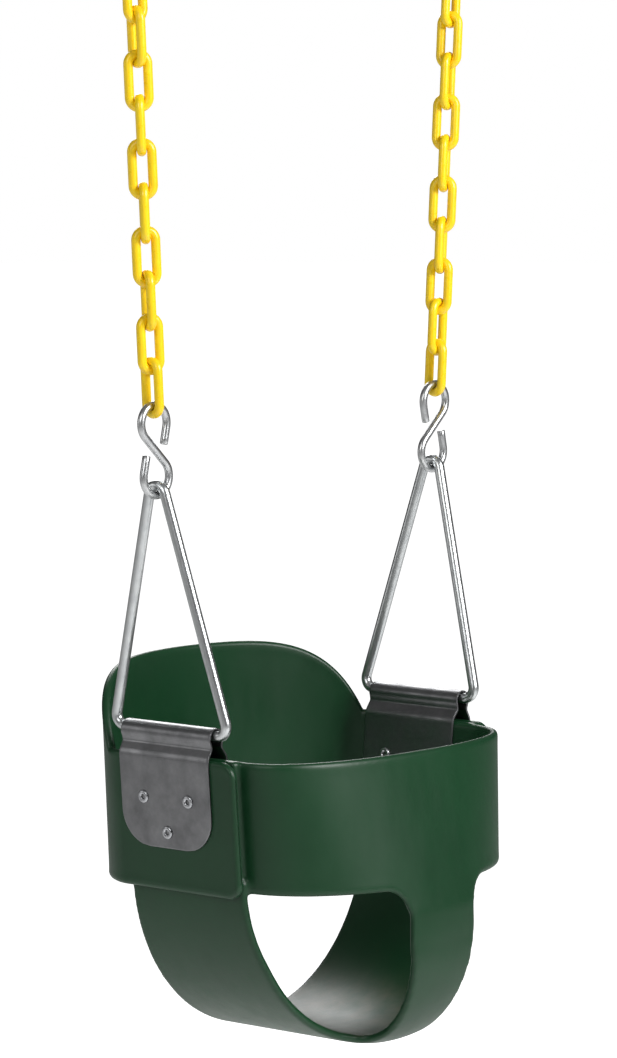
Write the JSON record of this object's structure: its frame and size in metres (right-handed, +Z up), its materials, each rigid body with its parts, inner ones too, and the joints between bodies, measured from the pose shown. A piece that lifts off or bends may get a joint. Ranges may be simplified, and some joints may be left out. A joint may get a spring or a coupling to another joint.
{
  "type": "toddler bucket swing",
  "caption": "High-back toddler bucket swing: moulded seat with leg holes, riveted steel brackets on triangular wire hangers, hung by S-hooks and coated chains.",
  "frame": {"origin": "midway between the two points where the top hooks hang from the swing frame", "axes": "+X from the left hanger to the right hanger, +Y to the back of the seat, +Z up"},
  "size_m": [0.3802, 0.2768, 0.8604],
  "materials": {
    "seat_sheet": "satin moulded green",
    "bracket_steel": "galvanised, dull",
    "rivet_steel": "bright zinc",
    "hanger_wire": "bright zinc",
    "hook_wire": "bright zinc",
    "chain_coating": "soft gloss yellow coating"
  },
  "bodies": {
    "top_hooks": {"left_top_hook": "hook_wire", "right_top_hook": "hook_wire"},
    "left_link_01": {"left_link_01": "chain_coating"},
    "left_link_02": {"left_link_02": "chain_coating"},
    "left_link_03": {"left_link_03": "chain_coating"},
    "left_link_04": {"left_link_04": "chain_coating"},
    "left_link_05": {"left_link_05": "chain_coating"},
    "left_link_06": {"left_link_06": "chain_coating"},
    "left_link_07": {"left_link_07": "chain_coating"},
    "left_link_08": {"left_link_08": "chain_coating"},
    "left_link_09": {"left_link_09": "chain_coating"},
    "left_link_10": {"left_link_10": "chain_coating"},
    "right_link_01": {"right_link_01": "chain_coating"},
    "right_link_02": {"right_link_02": "chain_coating"},
    "right_link_03": {"right_link_03": "chain_coating"},
    "right_link_04": {"right_link_04": "chain_coating"},
    "right_link_05": {"right_link_05": "chain_coating"},
    "right_link_06": {"right_link_06": "chain_coating"},
    "right_link_07": {"right_link_07": "chain_coating"},
    "right_link_08": {"right_link_08": "chain_coating"},
    "right_link_09": {"right_link_09": "chain_coating"},
    "right_link_10": {"right_link_10": "chain_coating"},
    "left_s_hook": {"left_s_hook": "hook_wire"},
    "right_s_hook": {"right_s_hook": "hook_wire"},
    "left_triangle": {"left_triangle": "hanger_wire"},
    "right_triangle": {"right_triangle": "hanger_wire"},
    "seat": {"back_panel": "seat_sheet", "seat_sling": "seat_sheet", "left_bracket": "bracket_steel", "right_bracket": "bracket_steel", "left_rivets": "rivet_steel", "right_rivets": "rivet_steel"}
  },
  "joints": [
    {"name": "fore_aft_swing", "type": "hinge", "parent": "top_hooks", "child": "left_link_01", "pos_m": [-0.18014, 0, -0.05634], "axis": [1, 0, 0], "range_deg": [-35, 35]},
    {"name": "chain_bend_02", "type": "hinge", "parent": "left_link_01", "child": "left_link_02", "pos_m": [-0.1778, 0, -0.09467], "axis": [1, 0, 0], "range_deg": [-3, 3]},
    {"name": "chain_bend_03", "type": "hinge", "parent": "left_link_02", "child": "left_link_03", "pos_m": [-0.17628, 0, -0.11953], "axis": [1, 0, 0], "range_deg": [-3, 3]},
    {"name": "chain_bend_04", "type": "hinge", "parent": "left_link_03", "child": "left_link_04", "pos_m": [-0.17394, 0, -0.15785], "axis": [1, 0, 0], "range_deg": [-3, 3]},
    {"name": "chain_bend_05", "type": "hinge", "parent": "left_link_04", "child": "left_link_05", "pos_m": [-0.17242, 0, -0.18271], "axis": [1, 0, 0], "range_deg": [-3, 3]},
    {"name": "chain_bend_06", "type": "hinge", "parent": "left_link_05", "child": "left_link_06", "pos_m": [-0.17007, 0, -0.22104], "axis": [1, 0, 0], "range_deg": [-3, 3]},
    {"name": "chain_bend_07", "type": "hinge", "parent": "left_link_06", "child": "left_link_07", "pos_m": [-0.16855, 0, -0.24589], "axis": [1, 0, 0], "range_deg": [-3, 3]},
    {"name": "chain_bend_08", "type": "hinge", "parent": "left_link_07", "child": "left_link_08", "pos_m": [-0.16621, 0, -0.28422], "axis": [1, 0, 0], "range_deg": [-3, 3]},
    {"name": "chain_bend_09", "type": "hinge", "parent": "left_link_08", "child": "left_link_09", "pos_m": [-0.16469, 0, -0.30907], "axis": [1, 0, 0], "range_deg": [-3, 3]},
    {"name": "seat_pitch", "type": "hinge", "parent": "left_link_09", "child": "left_link_10", "pos_m": [-0.16234, 0, -0.3474], "axis": [1, 0, 0], "range_deg": [-12, 12]},
    {"name": "right_fore_aft_swing", "type": "hinge", "parent": "top_hooks", "child": "right_link_01", "pos_m": [0.18014, 0, -0.05634], "axis": [1, 0, 0], "range_deg": [-35.5, 35.5]},
    {"name": "right_chain_bend_02", "type": "hinge", "parent": "right_link_01", "child": "right_link_02", "pos_m": [0.1778, 0, -0.09467], "axis": [1, 0, 0], "range_deg": [-3.5, 3.5]},
    {"name": "right_chain_bend_03", "type": "hinge", "parent": "right_link_02", "child": "right_link_03", "pos_m": [0.17628, 0, -0.11953], "axis": [1, 0, 0], "range_deg": [-3.5, 3.5]},
    {"name": "right_chain_bend_04", "type": "hinge", "parent": "right_link_03", "child": "right_link_04", "pos_m": [0.17394, 0, -0.15785], "axis": [1, 0, 0], "range_deg": [-3.5, 3.5]},
    {"name": "right_chain_bend_05", "type": "hinge", "parent": "right_link_04", "child": "right_link_05", "pos_m": [0.17242, 0, -0.18271], "axis": [1, 0, 0], "range_deg": [-3.5, 3.5]},
    {"name": "right_chain_bend_06", "type": "hinge", "parent": "right_link_05", "child": "right_link_06", "pos_m": [0.17007, 0, -0.22104], "axis": [1, 0, 0], "range_deg": [-3.5, 3.5]},
    {"name": "right_chain_bend_07", "type": "hinge", "parent": "right_link_06", "child": "right_link_07", "pos_m": [0.16855, 0, -0.24589], "axis": [1, 0, 0], "range_deg": [-3.5, 3.5]},
    {"name": "right_chain_bend_08", "type": "hinge", "parent": "right_link_07", "child": "right_link_08", "pos_m": [0.16621, 0, -0.28422], "axis": [1, 0, 0], "range_deg": [-3.5, 3.5]},
    {"name": "right_chain_bend_09", "type": "hinge", "parent": "right_link_08", "child": "right_link_09", "pos_m": [0.16469, 0, -0.30907], "axis": [1, 0, 0], "range_deg": [-3.5, 3.5]},
    {"name": "right_seat_pitch", "type": "hinge", "parent": "right_link_09", "child": "right_link_10", "pos_m": [0.16234, 0, -0.3474], "axis": [1, 0, 0], "range_deg": [-12.5, 12.5]},
    {"name": "side_sway", "type": "hinge", "parent": "left_link_10", "child": "left_s_hook", "pos_m": [-0.16041, 0, -0.37899], "axis": [0, 1, 0], "range_deg": [-8, 8]},
    {"name": "left_triangle_sway", "type": "hinge", "parent": "left_s_hook", "child": "left_triangle", "pos_m": [-0.15723, 0, -0.431], "axis": [0, 1, 0], "range_deg": [-2.5, 2.5]},
    {"name": "seat_sway", "type": "hinge", "parent": "left_triangle", "child": "seat", "pos_m": [-0.142, 0, -0.61236], "axis": [0, 1, 0], "range_deg": [-11.75, 11.75]},
    {"name": "right_triangle_sway", "type": "hinge", "parent": "seat", "child": "right_triangle", "pos_m": [0.142, 0, -0.61236], "axis": [0, 1, 0], "range_deg": [-11.75, 11.75]},
    {"name": "right_hook_sway", "type": "hinge", "parent": "right_link_10", "child": "right_s_hook", "pos_m": [0.16041, 0, -0.37899], "axis": [0, 1, 0], "range_deg": [-8.5, 8.5]}
  ],
  "couplings": [
    {"joint": "right_fore_aft_swing", "follows": "fore_aft_swing", "ratio": 1},
    {"joint": "right_chain_bend_02", "follows": "chain_bend_02", "ratio": 1},
    {"joint": "right_chain_bend_03", "follows": "chain_bend_03", "ratio": 1},
    {"joint": "right_chain_bend_04", "follows": "chain_bend_04", "ratio": 1},
    {"joint": "right_chain_bend_05", "follows": "chain_bend_05", "ratio": 1},
    {"joint": "right_chain_bend_06", "follows": "chain_bend_06", "ratio": 1},
    {"joint": "right_chain_bend_07", "follows": "chain_bend_07", "ratio": 1},
    {"joint": "right_chain_bend_08", "follows": "chain_bend_08", "ratio": 1},
    {"joint": "right_chain_bend_09", "follows": "chain_bend_09", "ratio": 1},
    {"joint": "right_seat_pitch", "follows": "seat_pitch", "ratio": 1},
    {"joint": "left_triangle_sway", "follows": "side_sway", "ratio": 0.25},
    {"joint": "seat_sway", "follows": "side_sway", "ratio": -1.4065},
    {"joint": "right_triangle_sway", "follows": "side_sway", "ratio": 1.4065},
    {"joint": "right_hook_sway", "follows": "side_sway", "ratio": 1}
  ]
}
